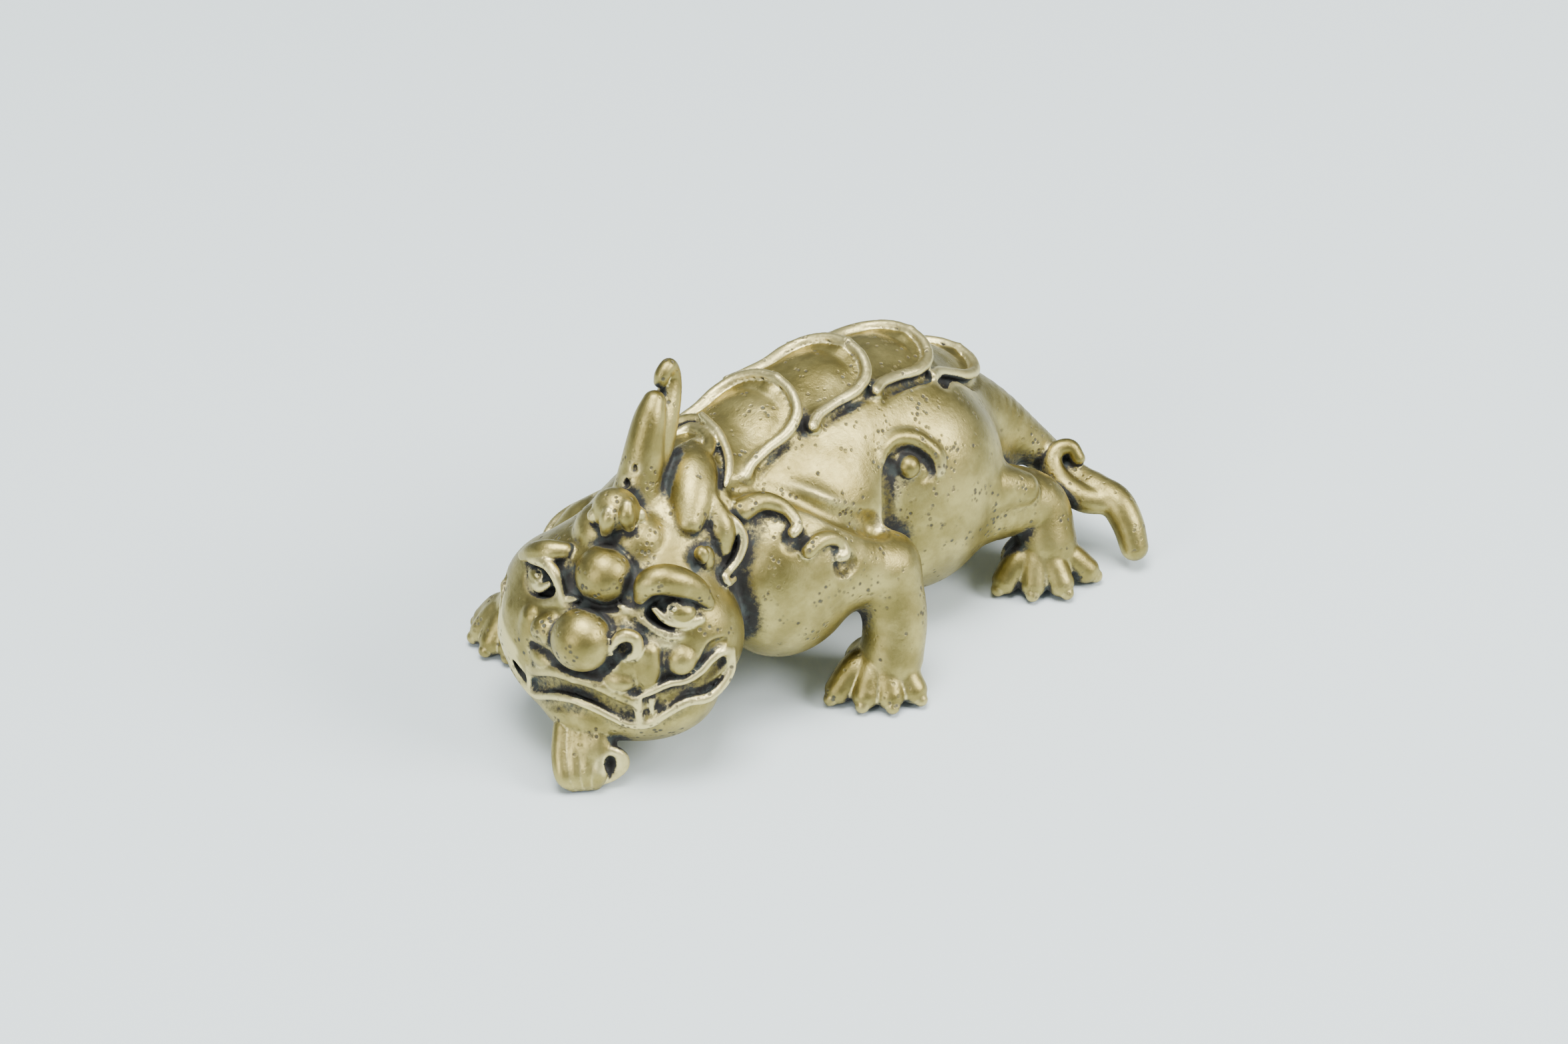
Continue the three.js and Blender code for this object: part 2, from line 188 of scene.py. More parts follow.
# Four plates overlap along the spine. Each is a thin-edged dome with a tongue down either side
# and a proud rim, rolled separately and laid round its rear edge.
rim = np.array([[0, 0, 0], [-0.5, 2.4, -0.3], [-1.9, 4.3, -0.8], [-4.3, 5.1, -0.9], [-6.9, 5.0, -0.6],
                [-9.7, 5.3, -0.2], [-11.4, 6.2, -0.2]])
tongue = np.array([[-4.5, 1.6, -3.4], [-7.2, 3.2, -2.6], [-9.6, 4.5, -1.5], [-11.2, 5.8, -0.3]])
for x, z, pitch, size in ((1.0, 29.9, 21, 1), (11.0, 29.6, 10, 1), (20.2, 26.9, -4, 1), (27.6, 21.4, -22, 0.95)):
    lean = math.radians(pitch)
    set_down((x, 0, z), ((math.cos(lean), 0, math.sin(lean)), (0, 1, 0), (-math.sin(lean), 0, math.cos(lean))))
    pellet(np.array([-4.9, 0, -5.0]) * size, np.array([6.2, 5.4, 5.2]) * size, 0.6)
    for side in sides:
        turned = np.array([1, side, 1]) * size
        roll(tongue * turned, np.array([3.4, 2.3, 1.4, 0.5]) * size, 0.6)
    for side in sides:
        turned = np.array([1, side, 1]) * size
        roll(rim[:5] * turned * [1, 0.86, 1] + [-1.1, 0, -1.25], [1.1, 1.15, 1.2, 1.2, 0.9], 0.5)
        roll(rim * turned * [1, 1.1, 1] + [0.95, 0, -0.9], 0.65, 0.25, dig=True)
        roll(rim * turned, [0.5, 0.55, 0.6, 0.6, 0.55, 0.5, 0.3], 0.2)
set_down()
roll([[-7.6, 1.8, 28.6], [-8.2, -0.9, 28.4], [-8.9, -2.6, 28.0], [-9.8, -4.2, 27.5], [-11.0, -5.4, 27.0],
      [-12.2, -6.2, 26.4]], [0.4, 0.5, 0.5, 0.5, 0.45, 0.3], 0.2)

# Cloud scrolls on the left shoulder: a band and two bays are dug, and a curl is laid in each bay.
roll([[-11, -6.6, 25.6], [-8.0, -7.6, 24.9], [-5.8, -9.0, 23.6], [-3.2, -11.2, 21.4], [-0.6, -12.4, 19.6],
      [2.2, -12.6, 17.6]], [0.8, 1.0, 1.2, 1.2, 1.3, 1.4], 0.8, dig=True)
pellet([-9.0, -12.4, 21.8], [1.7, 1.2, 1.7], 0.4, dig=True)
pellet([-4.4, -15.1, 17.6], [1.5, 1.1, 1.3], 0.4, dig=True)
roll([[-11.5, -7.6, 23.8], [-9.3, -8.2, 24.1], [-8.0, -9.6, 23.6], [-7.8, -11.0, 23.0], [-8.1, -11.9, 22.3],
      [-8.8, -12.1, 22.1]], [1.2, 1.0, 0.8, 0.65, 0.6, 0.6], 0.3)
roll([[-8.0, -13.4, 20.2], [-6.6, -13.4, 20.6], [-5.1, -13.6, 20.3], [-4.2, -14.1, 19.4], [-4.3, -14.7, 18.5],
      [-5.0, -14.6, 18.6]], [0.8, 0.8, 0.75, 0.65, 0.6, 0.6], 0.3)
roll([[-1.2, -16.2, 11.6], [-2.6, -15.0, 8.6], [-4.2, -13.2, 5.4]], [0.35, 0.6, 0.8], 0.2, dig=True)
roll([[-15.8, -11.8, 15.4], [-13.0, -13.5, 14.0]], 0.25, 0.15, dig=True)

# The haunch has a groove down its front edge that winds round a pearl, with a ridge outside it,
# and a small hook low behind it.
roll([[7.2, -9.6, 21.3], [5.9, -10.6, 19.2], [5.4, -11.4, 16.4], [5.2, -12.0, 13.6], [6.4, -12.2, 10]],
     [0.7, 1.0, 1.2, 1.3, 1.3], 0.7, dig=True)
roll([[7.6, -9.9, 21.3], [8.2, -9.8, 21.8], [9.6, -9.9, 21.8], [11.0, -10.9, 20.8], [11.2, -11.9, 19.5],
      [10.1, -11.9, 18.9]], [0.45, 0.45, 0.5, 0.5, 0.5, 0.35], 0.2, dig=True)
pellet([9.1, -10.4, 20.4], 1.25, 0.2)
roll([[6.4, -9.0, 22.0], [7.4, -8.7, 22.9], [9.0, -8.7, 23.1], [11.0, -9.6, 22.4], [12.2, -11.2, 20.8],
      [12.0, -12.0, 19.3]], [0.6, 0.8, 0.85, 0.85, 0.8, 0.5], 0.5)
roll([[19.2, -9.2, 19.8], [20.8, -10.4, 17.8], [20.6, -11.6, 16.0], [19.3, -12.0, 15.6], [18.9, -11.6, 16.8],
      [19.4, -11.3, 17.3]], [0.5, 0.6, 0.6, 0.6, 0.55, 0.5], 0.3)

# The tail is one long roll that falls to the left, with a scroll laid on it and a round tip.
roll([[22, -0.5, 15.5], [27.2, -3, 15.0], [31.8, -6, 10.6], [34.0, -8, 7.9], [34.4, -10.6, 7.2],
      [34.6, -13.2, 6.8]], [5.5, 3.6, 2.4, 1.9, 1.6, 1.6], 1)
roll([[34.6, -13.2, 6.8], [34.9, -16, 6.3], [34.8, -18, 4.5], [34.4, -19.4, 2.4]], [1.6, 1.8, 1.7, 1.5], 0.5)
roll([[34, -15.5, 6.3], [32.6, -13.5, 6.6], [32.0, -11, 7.6], [32.2, -9.4, 9.1], [33.2, -9.2, 10.3],
      [34.4, -10, 10.5], [34.6, -10.9, 9.4]], [1.3, 1.5, 1.4, 1.2, 0.95, 0.85, 0.85], 0.3)

# The head was modelled apart and set on turned to its left. Its wax is measured forwards, to its
# left and up from the middle of the head: first skull, jaw, cheeks and the three balls above the nose.
turn = math.radians(18)
set_down((-22.9, -2.0, 15.0), ((-math.cos(turn), -math.sin(turn), 0), (math.sin(turn), -math.cos(turn), 0),
                               (0, 0, 1)))
pellet([-1, 0, 0.8], [7.2, 10.8, 7.6], 2)
for side in sides:
    pellet([-1, side * 8.2, -1.2], [5, 4.5, 5.6], 1.5)
pellet([2.5, 0, -1.5], [6, 8.5, 4.8], 1.5)
pellet([0.8, 0, -6.4], [7.4, 11.0, 6.8], 1.5)
pellet([1.6, -5.9, -3.4], [5.4, 5.9, 6.2], 1.5)
pellet([4.5, -0.5, -8.2], [4.3, 5, 3.6], 1)
for side in sides:
    pellet([-1.2, side * 1.9, 8.2], [3.2, 2.9, 2.7], 0.5)
roll([[2.3, 3.1, 7.6], [3.9, 4.3, 7.1], [4.6, 4.1, 5.8], [5.0, 2.7, 4.7], [5.4, 0.4, 4.2], [5.3, -1.4, 4.3],
      [4.7, -2.5, 5.2], [3.6, -3.0, 6.6]], [0.4, 0.75, 0.8, 0.6, 0.5, 0.6, 0.8, 0.4], 0.5, dig=True)
pellet([3.3, 0.6, 6.4], 2.9, 0.15)
pellet([-0.1, 0.1, 11.7], [2.1, 2.4, 2.2], 0.3)
roll([[1.7, 0.3, 12.6], [1.9, 0.3, 11.7], [1.8, 0.0, 10.2]], [0.6, 0.85, 0.55], 0.15)
roll([[0.6, 1.7, 13.2], [1.1, 1.9, 12.3], [1.0, 2.1, 11.1]], [0.6, 0.85, 0.6], 0.15)
pellet([-0.9, 2.3, 11.2], [0.7, 0.6, 0.9], 0.12)
pellet([1.2, -1.7, 11.2], [0.6, 0.6, 0.8], 0.15)
pellet([-1.8, 8.4, 8.0], [0.7, 0.8, 1.0], 0.2)

# Eyes are beads with a ringed pupil, pressed into dug sockets under heavy rolled brows. The right
# one lies lower and nearer the nose. Folds of skin run from the nose under each eye.
for side, inward, lower in ((1, 0.0, 0.0), (-1, 1.7, 0.4)):
    def by_eye(points):
        return [[f + 0.3 * inward, side * (l - inward), u - lower] for f, l, u in points]

    pellet(*by_eye([[3.4, 8.0, 4.0]]), [1.7, 2.7, 1.35], 0.4, dig=True)
    pellet(*by_eye([[2.3, 7.8, 4.1]]), [1.5, 2.0, 1.25], 0.1)
    bead = [[3.36 - 0.3 * math.cos(a) - 0.32 * math.sin(a), 8.15 + 0.56 * math.cos(a) - 0.16 * math.sin(a),
             4.85 + 0.5 * math.sin(a)] for a in np.arange(9) * math.pi / 4]
    roll(by_eye(bead), 0.2, 0.06, per_stretch=2)
    pellet(*by_eye([[3.5, 8.2, 4.95]]), 0.28, 0.05)
    roll(by_eye([[4.2, 6.4, 4.9], [3.9, 7.6, 3.8], [2.9, 8.9, 3.1], [1.7, 10.2, 3.3]]), [0.3, 0.5, 0.5, 0.3], 0.3)
    roll(by_eye([[4.9, 3.0, 4.6], [4.6, 4.5, 3.9], [4.5, 6.1, 2.9], [3.9, 8.0, 2.1], [2.5, 9.6, 1.8]]),
         [0.3, 0.55, 0.55, 0.55, 0.3], 0.3)
    roll(by_eye([[5.4, 3.9, 3.3], [5.0, 5.4, 2.2], [4.6, 7.0, 1.4], [3.8, 8.6, 1.0]]), [0.3, 0.5, 0.5, 0.3], 0.3)
roll([[4.3, 5.0, 5.8], [3.8, 5.5, 7.2], [3.0, 6.6, 7.6], [1.9, 7.9, 7.0], [0.9, 9.2, 5.9], [0.3, 10.1, 4.4]],
     [0.7, 1.25, 1.5, 1.5, 1.2, 0.7], 0.2)
roll([[2.4, -8.9, 5.0], [2.9, -7.4, 6.2], [3.1, -5.7, 7.0], [2.6, -4.1, 7.2]], [0.6, 1.0, 1.15, 0.9], 0.25)
roll([[3.6, -7.3, 5.9], [4.3, -5.2, 6.4], [4.8, -4.0, 5.9], [5.1, -3.3, 4.7], [5.6, -2.7, 3.3]],
     [0.5, 0.6, 0.6, 0.5, 0.3], 0.2)

# The nose is a large ball between two nostril wings. The left wing is a roll bent round its hole.
roll([[7.2, -5.4, -1.6], [8.1, -3.4, -1.5], [8.7, -2.0, -2.1], [8.6, -0.2, -2.3], [8.5, 1.7, -1.7], [8.0, 2.9, -0.7]],
     [0.4, 0.5, 0.6, 0.6, 0.6, 0.5], 0.5, dig=True)
pellet([5.9, 3.9, 1.3], [2.2, 1.6, 1.7], 0.4)
pellet([6.2, -3.6, 0.6], [2.2, 1.7, 1.7], 0.4)
pellet([6.9, -4.2, 0.7], 1.4, 0.2)
pellet([7.6, 0.4, 1.4], [3, 3.1, 3.1], 0.15)
pellet([7.3, 4.8, 1.6], [1.2, 1.1, 1.1], 0.2, dig=True)
roll([[7.4, 3.7, 1.2], [7.4, 3.9, 2.3], [7.0, 4.7, 3.0], [6.7, 5.6, 2.8], [6.5, 5.8, 1.9], [6.6, 5.7, 1.0],
      [7.0, 5.0, 0.4]], [0.4, 0.55, 0.65, 0.65, 0.6, 0.55, 0.4], 0.12)
roll([[7.5, 4.8, 1.6], [7.5, 4.1, 0.6], [7.6, 3.4, -0.3], [7.9, 2.7, -1.1]], [0.6, 0.5, 0.5, 0.4], 0.25, dig=True)
pellet([8.3, -4.3, 0.1], [0.5, 0.5, 0.6], 0.2, dig=True)

# The mouth is a dug slit that ends in a pocket at either cheek, between lips that meet round it.
# A fang and a small tooth stand at each side, and the muzzle swells in three lobes above.
for side in sides:
    pellet([6.8, side * 3.7, -2.4], [1.6, 2.1, 1.25], 0.3)
    roll([[5.3, side * 6.2, 0.4], [5.6, side * 6.3, -1.4], [5.3, side * 6.1, -4.0]], [1.4, 1.45, 1.1], 0.25)
    pellet([3.4, side * 8.8, -0.7], 1.75, 0.3)
    roll([[8.6, 0, -2.5], [8.3, side * 2.0, -2.7], [7.6, side * 4.0, -3.7], [7.0, side * 5.6, -4.5]],
         [0.7, 0.75, 0.8, 0.6], 0.3)
for side in sides:
    roll([[9.1, 0, -3.75], [8.9, side * 2.0, -3.95], [8.3, side * 3.8, -4.9], [7.6, side * 5.4, -6.0],
          [6.9, side * 6.6, -6.0], [6.2, side * 7.5, -5.3], [5.5, side * 8.6, -4.1], [4.3, side * 9.8, -3.8],
          [3.2, side * 10.9, -3.4], [2.3, side * 11.6, -2.4], [1.3, side * 11.9, -1.6]],
         [0.8, 0.8, 0.8, 0.65, 0.45, 0.5, 0.5, 0.5, 0.65, 0.9, 0.7], 0.2, dig=True)
    roll([[5.6, side * 7.6, -3.3], [4.6, side * 8.8, -2.6], [3.9, side * 10.2, -2.2], [2.9, side * 11.0, -0.9],
          [2.0, side * 11.5, 0.5], [0.8, side * 12.1, 0.7]], [0.25, 0.4, 0.45, 0.5, 0.6, 0.4], 0.3, dig=True)
for side in sides:
    roll([[6.9, side * 6.1, -3.9], [6.3, side * 7.3, -3.2], [5.3, side * 8.5, -2.6], [4.3, side * 9.7, -2.5],
          [3.3, side * 10.8, -1.7], [2.2, side * 11.4, -0.8], [1.2, side * 12.0, -0.3], [0.0, side * 12.4, -0.9]],
         [0.3, 0.38, 0.4, 0.42, 0.45, 0.45, 0.45, 0.45], 0.15)
    roll([[8.7, side * 0.1, -5.2], [8.5, side * 1.9, -5.6], [7.9, side * 3.7, -6.6], [7.3, side * 5.2, -7.3],
          [6.4, side * 6.9, -7.2], [5.7, side * 8.4, -5.9], [4.4, side * 9.9, -4.9], [2.9, side * 11.4, -4.9],
          [1.4, side * 12.2, -4.1], [0.2, side * 12.6, -2.7], [0.0, side * 12.4, -0.9]],
         [0.5, 0.52, 0.52, 0.5, 0.48, 0.5, 0.55, 0.55, 0.5, 0.45, 0.45], 0.2)
    roll([[6.9, side * 5.9, -4.4], [6.9, side * 6.0, -7.0]], [0.5, 0.42], 0.2)
    roll([[6.1, side * 7.0, -4.4], [6.1, side * 7.0, -6.2]], [0.42, 0.34], 0.1)
    roll([[9.1, side * 0.1, -6.3], [8.7, side * 2.3, -6.9], [8.1, side * 4.4, -8.0], [7.4, side * 6.2, -8.3]],
         [0.6, 0.6, 0.5, 0.2], 0.5, dig=True)
    roll([[5.8, side * 8.4, -7.1], [4.6, side * 9.9, -6.2], [3.0, side * 11.3, -6.0], [1.4, side * 12.4, -5.0]],
         [0.3, 0.5, 0.5, 0.3], 0.5, dig=True)

# The beard is four broad locks pressed together, and a fifth that curls up on the left.
roll([[10.1, -2.4, -10.2], [10.2, -0.7, -10.1], [9.9, 1.1, -10.3], [9.3, 2.6, -10.9]], [0.3, 0.45, 0.45, 0.3], 0.3,
     dig=True)
for i in range(4):
    t = (i - 1.5) / 1.5
    roll([[7.9 - 0.3 * t, 0.1 + 1.9 * t, -9.6], [9.2 - 0.7 * t, 0.7 + 1.8 * t, -11.6],
          [10.0 - 0.8 * t, 1.1 + 1.4 * t, -13.2], [9.8 - 0.6 * t, 1.3 + 0.9 * t, -14.3]], [1.0, 1.0, 0.95, 0.75], 0.15)
pellet([7.6, 0.9, -11.6], [2.2, 2.8, 2.8], 0.3)
roll([[8.3, 2.5, -10.8], [7.8, 3.6, -10.8], [7.3, 4.3, -11.8], [7.4, 4.3, -12.8], [8.0, 3.5, -13.7],
      [8.7, 2.6, -14.2]], [0.5, 0.55, 0.6, 0.6, 0.6, 0.5], 0.15)
pellet([7.6, 3.3, -12.2], [0.8, 1.1, 1.3], 0.2)
pellet([8.5, 3.4, -12.0], [0.6, 0.7, 0.9], 0.2, dig=True)

# The left ear stands up as a leaf with a rolled rim and a curled tip. The right one lies back.
roll([[-6.9, 6.8, 10.6], [-6.2, 8.2, 8.4], [-5.6, 8.6, 6.6]], [0.8, 1.4, 1.0], 0.3)
roll([[-7.2, 6.7, 11.4], [-6.8, 8.1, 9.9], [-7.2, 9.5, 8.4], [-7.1, 10.1, 6.9], [-6.2, 10.1, 5.6], [-4.8, 9.8, 4.8],
      [-3.7, 9.8, 4.7], [-3.8, 10.1, 4.0], [-5.0, 10.1, 3.7]],
     [0.3, 0.45, 0.5, 0.55, 0.5, 0.45, 0.45, 0.45, 0.4], 0.15)
pellet([-3.0, 8.3, 6.7], [0.9, 0.8, 1.5], 0.2)
roll([[-7.2, -4.6, 6.0], [-6.9, -7.2, 4.2], [-5.8, -9.2, 2.6]], [1.4, 1.9, 1.2], 0.4)
roll([[-7.4, -4.2, 8.2], [-7.6, -5.7, 7.1], [-7.9, -7.8, 5.2], [-7.6, -9.5, 3.8], [-6.6, -10.5, 2.8],
      [-5.0, -10.6, 2.2], [-3.8, -9.9, 2.0]], [0.4, 0.5, 0.55, 0.6, 0.6, 0.55, 0.5], 0.2)

# One forked horn stands over the neck: a leaf-shaped front prong with a row of pits, and a rear
# prong whose tip curls over.
roll([[-4.0, 0, 8.5], [-5.2, 0, 12], [-6.2, 0, 15.5], [-7.2, 0, 17.8], [-8.2, 0, 19.3]], [3.0, 2.4, 1.9, 1.6, 1.15],
     0.5)
roll([[-6.4, 0.3, 12.5], [-8.8, 0.3, 16.4], [-10.6, 0.3, 18.8], [-11.4, 0.3, 20.6], [-10.9, 0.2, 21.9],
      [-10.0, 0, 21.4], [-9.9, -0.2, 20.6]], [2.0, 1.7, 1.25, 0.85, 0.8, 0.8, 0.7], 0.15)
for i, (forward, up) in enumerate(((-3.7, 14.6), (-4.4, 13.0), (-3.9, 11.4), (-3.0, 9.9))):
    pellet([forward + 0.8, -0.3 + 0.5 * (i % 2), up + 1.4], [0.5, 0.28, 0.5], 0.1, dig=True)

# A lock of mane lies on the neck beside the horn, under a scroll that winds to its middle.
set_down()
roll([[-17.2, -6.3, 24.6], [-15.4, -4.7, 25.4], [-13.6, -2.9, 26.3], [-12.2, -1.4, 26.6]], [1.4, 2.4, 2.7, 2.2], 0.3)
roll([[-11.1, 3.0, 27.0], [-9.8, 2.7, 27.2], [-8.7, 2.1, 27.5], [-8.9, 0.1, 27.9], [-9.8, -1.6, 27.9],
      [-11.1, -2.4, 27.9], [-12.0, -2.0, 28.0], [-11.5, -0.7, 28.1], [-10.4, -0.6, 28.0]],
     [0.35, 0.5, 0.6, 0.65, 0.7, 0.7, 0.65, 0.55, 0.5], 0.15)
roll([[-9.2, 4.9, 26.6], [-7.9, 3.9, 27.1], [-7.3, 2.6, 27.4], [-7.4, 0.9, 27.6]], [0.5, 0.7, 0.7, 0.5], 0.3)

# The soles were filed flat, and the skin of the metal keeps the unevenness of the clay mould.
sole = 0.02 - spread((slice(None),) * 3)[2]
np.maximum(wax, sole, out=wax)


def skin():
    """The surface of the wax as points in millimetres and four-cornered faces that look outwards."""
    full = wax < 0
    nx, ny, nz = wax.shape
    corners = [(i, j, k) for i in (0, 1) for j in (0, 1) for k in (0, 1)]
    count = np.zeros((nx - 1, ny - 1, nz - 1), np.uint8)
    for i, j, k in corners:
        count += full[i:nx - 1 + i, j:ny - 1 + j, k:nz - 1 + k]
    cells = np.argwhere((count > 0) & (count < 8))
    number = np.full(count.shape, -1, np.int32)
    number[tuple(cells.T)] = np.arange(len(cells))
    total = np.zeros((len(cells), 3))
    crossings = np.zeros(len(cells))
    for corner in corners:
        for way in range(3):
            if corner[way]:
                continue
            other = list(corner)
            other[way] = 1
            a = wax[tuple((cells + corner).T)]
            b = wax[tuple((cells + other).T)]
            crossed = (a < 0) != (b < 0)
            share = np.where(crossed, a / np.where(crossed, a - b, 1), 0)
            for q in range(3):
                total[:, q] += np.where(crossed, corner[q] + (share if q == way else 0), 0)
            crossings += crossed
    total /= crossings[:, None]
    points = np.empty_like(total)
    for q in range(3):
        cuts = across[q]
        points[:, q] = cuts[cells[:, q]] + (cuts[cells[:, q] + 1] - cuts[cells[:, q]]) * total[:, q]
    faces = []
    for way in range(3):
        size = (nx, ny, nz)
        here = tuple(slice(0, size[q] - 1) if q == way else slice(1, size[q] - 1) for q in range(3))
        there = tuple(slice(1, size[q]) if q == way else slice(1, size[q] - 1) for q in range(3))
        edges = np.argwhere(full[here] != full[there])
        leaving = full[here][tuple(edges.T)]
        edges = edges + [0 if q == way else 1 for q in range(3)]
        u, v = [q for q in range(3) if q != way]

        def cell(du, dv):
            c = edges.copy()
            c[:, u] -= du
            c[:, v] -= dv
            return number[tuple(c.T)]

        four = np.stack([cell(1, 1), cell(0, 1), cell(0, 0), cell(1, 0)], 1)
        turned = ~leaving if way != 1 else leaving
        four[turned] = four[turned][:, ::-1]
        faces.append(four)
    return points, np.vstack(faces)


points, faces = skin()
mesh = bpy.data.meshes.new("mythical_beast_casting")
mesh.vertices.add(len(points))
mesh.vertices.foreach_set("co", ((points - middle) / 1000).astype(np.float32).ravel())
mesh.loops.add(faces.size)
mesh.loops.foreach_set("vertex_index", faces.astype(np.int32).ravel())
mesh.polygons.add(len(faces))
mesh.polygons.foreach_set("loop_start", np.arange(0, faces.size, 4, dtype=np.int32))
mesh.update(calc_edges=True)
mesh.validate()
casting = bpy.data.objects.new("mythical_beast_casting", mesh)
bpy.context.collection.objects.link(casting)
print("skin", len(points), len(faces), wax.shape)

# Flat stretches need fewer faces than scrolls and lips, so the mesh is thinned where it is even.
thin = casting.modifiers.new("thin", "DECIMATE")
thin.ratio = min(1.0, 192000 / (2 * len(faces)))
made = bpy.data.meshes.new_from_object(casting.evaluated_get(bpy.context.evaluated_depsgraph_get()))
casting.modifiers.clear()
casting.data = made
made.name = "mythical_beast_casting"
made.polygons.foreach_set("use_smooth", np.ones(len(made.polygons), bool))
print("thinned", len(made.polygons))


def depth_at(places):
    """Depth of the wax at places in millimetres."""
    found = 0
    cell = []
    share = []
    for q in range(3):
        i = np.clip(np.searchsorted(across[q], places[:, q]) - 1, 0, len(across[q]) - 2)
        cell.append(i)
        share.append(np.clip((places[:, q] - across[q][i]) / (across[q][i + 1] - across[q][i]), 0, 1))
    for i in (0, 1):
        for j in (0, 1):
            for k in (0, 1):
                weight = 1
                for q, far in enumerate((i, j, k)):
                    weight = weight * (share[q] if far else 1 - share[q])
                found = found + weight * wax[cell[0] + i, cell[1] + j, cell[2] + k]
    return found


# How deep each place lies between its neighbours decides where dirt stayed and where hands rubbed.
place = np.empty(len(made.vertices) * 3, np.float32)
made.vertices.foreach_get("co", place)
place = place.reshape(-1, 3) * 1000 + middle
outward = np.empty(len(made.vertices) * 3, np.float32)
made.vertices.foreach_get("normal", outward)
outward = outward.reshape(-1, 3)
hollow = np.zeros(len(place))
for away, weight in ((0.35, 0.3), (0.8, 0.4), (1.5, 0.3)):
    hollow += weight * np.clip(1 - depth_at(place + outward * away) / away, -1, 1)
proud = np.clip(1 + depth_at(place - outward * 0.7) / 0.7, -1, 1)

# Wide recesses, such as under the belly and behind the ears, are found on a rough grid of the metal, and are painted
# darker as shade.
rough = 0.8
rough_cuts = [np.arange(cuts[0], cuts[-1], rough) for cuts in across]
metal_there = wax[np.ix_(*[np.clip(np.searchsorted(cuts, c), 0, len(cuts) - 1)
                           for cuts, c in zip(across, rough_cuts)])] < 0
share_full = np.pad(metal_there.astype(np.float32), 6)
# The table under the soles counts as three-quarters metal, so the painted shade also darkens the parts low near it.
share_full[:, :, :7] = 0.75
for way in range(3):
    for width in (5, 4):
        share_full = sum(np.roll(share_full, shift, way) for shift in range(-(width // 2), width - width // 2)) / width
spot_in = ((place + outward * 1.6 - [c[0] for c in rough_cuts]) / rough + 6).T
low_cell = np.clip(np.floor(spot_in).astype(int), 0, np.array(share_full.shape)[:, None] - 2)
far_share = np.clip(spot_in - low_cell, 0, 1)
wide_painted_shade = 0
for corner in [(i, j, k) for i in (0, 1) for j in (0, 1) for k in (0, 1)]:
    weight = 1
    for q in range(3):
        weight = weight * (far_share[q] if corner[q] else 1 - far_share[q])
    wide_painted_shade = wide_painted_shade + weight * share_full[tuple(low_cell[q] + corner[q] for q in range(3))]
print("wide_painted_shade", np.percentile(wide_painted_shade, [5, 25, 50, 75, 95]), "hollow", np.percentile(hollow, [5, 25, 50, 75, 95]),
      "proud", np.percentile(proud, [5, 25, 50, 75, 95]))
for name, values in (("hollow", hollow), ("proud", proud), ("wide_painted_shade", wide_painted_shade)):
    made.attributes.new(name, "FLOAT", "POINT").data.foreach_set("value", values.astype(np.float32))

# Brass that has gone olive, rubbed bright on the high parts, with black dirt and a little verdigris left in the small
# recesses, and painted shade darkening the wide recesses and the parts near the table. Fine pits of the mould show all
# over.
brass = bpy.data.materials.new("aged_cast_brass")
brass.use_nodes = True
nodes = brass.node_tree.nodes
links = brass.node_tree.links
nodes.clear()


def node(kind, **settings):
    made_node = nodes.new(kind)
    for name, value in settings.items():
        if name in made_node.inputs:
            made_node.inputs[name].default_value = value
        else:
            setattr(made_node, name, value)
    return made_node


def maths(operation, a, b=None, c=None, clamp=False):
    step = nodes.new("ShaderNodeMath")
    step.operation = operation
    step.use_clamp = clamp
    for socket, value in zip(step.inputs, (a, b, c)):
        if value is None:
            continue
        if isinstance(value, (int, float)):
            socket.default_value = value
        else:
            links.new(value, socket)
    return step.outputs[0]


def graded(value, low, high, to_low=0.0, to_high=1.0):
    step = nodes.new("ShaderNodeMapRange")
    step.interpolation_type = "SMOOTHSTEP"
    links.new(value, step.inputs["Value"])
    for name, number_ in (("From Min", low), ("From Max", high), ("To Min", to_low), ("To Max", to_high)):
        step.inputs[name].default_value = number_
    return step.outputs["Result"]


def blend(share, first, second):
    step = nodes.new("ShaderNodeMix")
    step.data_type = "RGBA"
    links.new(share, step.inputs["Factor"])
    for socket, value in ((step.inputs["A"], first), (step.inputs["B"], second)):
        if isinstance(value, tuple):
            socket.default_value = (*value, 1)
        else:
            links.new(value, socket)
    return step.outputs["Result"]


def noise(scale, detail, roughness=0.5):
    step = node("ShaderNodeTexNoise", Scale=scale, Detail=detail, Roughness=roughness)
    links.new(spot, step.inputs["Vector"])
    return step.outputs["Fac"]


spot = node("ShaderNodeTexCoord").outputs["Object"]
hollow_read = node("ShaderNodeAttribute", attribute_name="hollow").outputs["Fac"]
proud_read = node("ShaderNodeAttribute", attribute_name="proud").outputs["Fac"]
wide_painted_shade_read = node("ShaderNodeAttribute", attribute_name="wide_painted_shade").outputs["Fac"]
cloud = noise(260, 6, 0.6)
grain = noise(2400, 5, 0.65)
pit = node("ShaderNodeTexVoronoi", Scale=1500.0)
links.new(spot, pit.inputs["Vector"])
pits = graded(pit.outputs["Distance"], 0.42, 0.2)
patch_mask = graded(noise(420, 3), 0.5, 0.62)
pits = maths("MULTIPLY", pits, patch_mask)
patina_and_painted_shade = maths("ADD", hollow_read, maths("MULTIPLY", maths("SUBTRACT", cloud, 0.5), 0.9))
patina_and_painted_shade = maths("ADD", patina_and_painted_shade, maths("MULTIPLY", maths("SUBTRACT", grain, 0.5), 0.9))
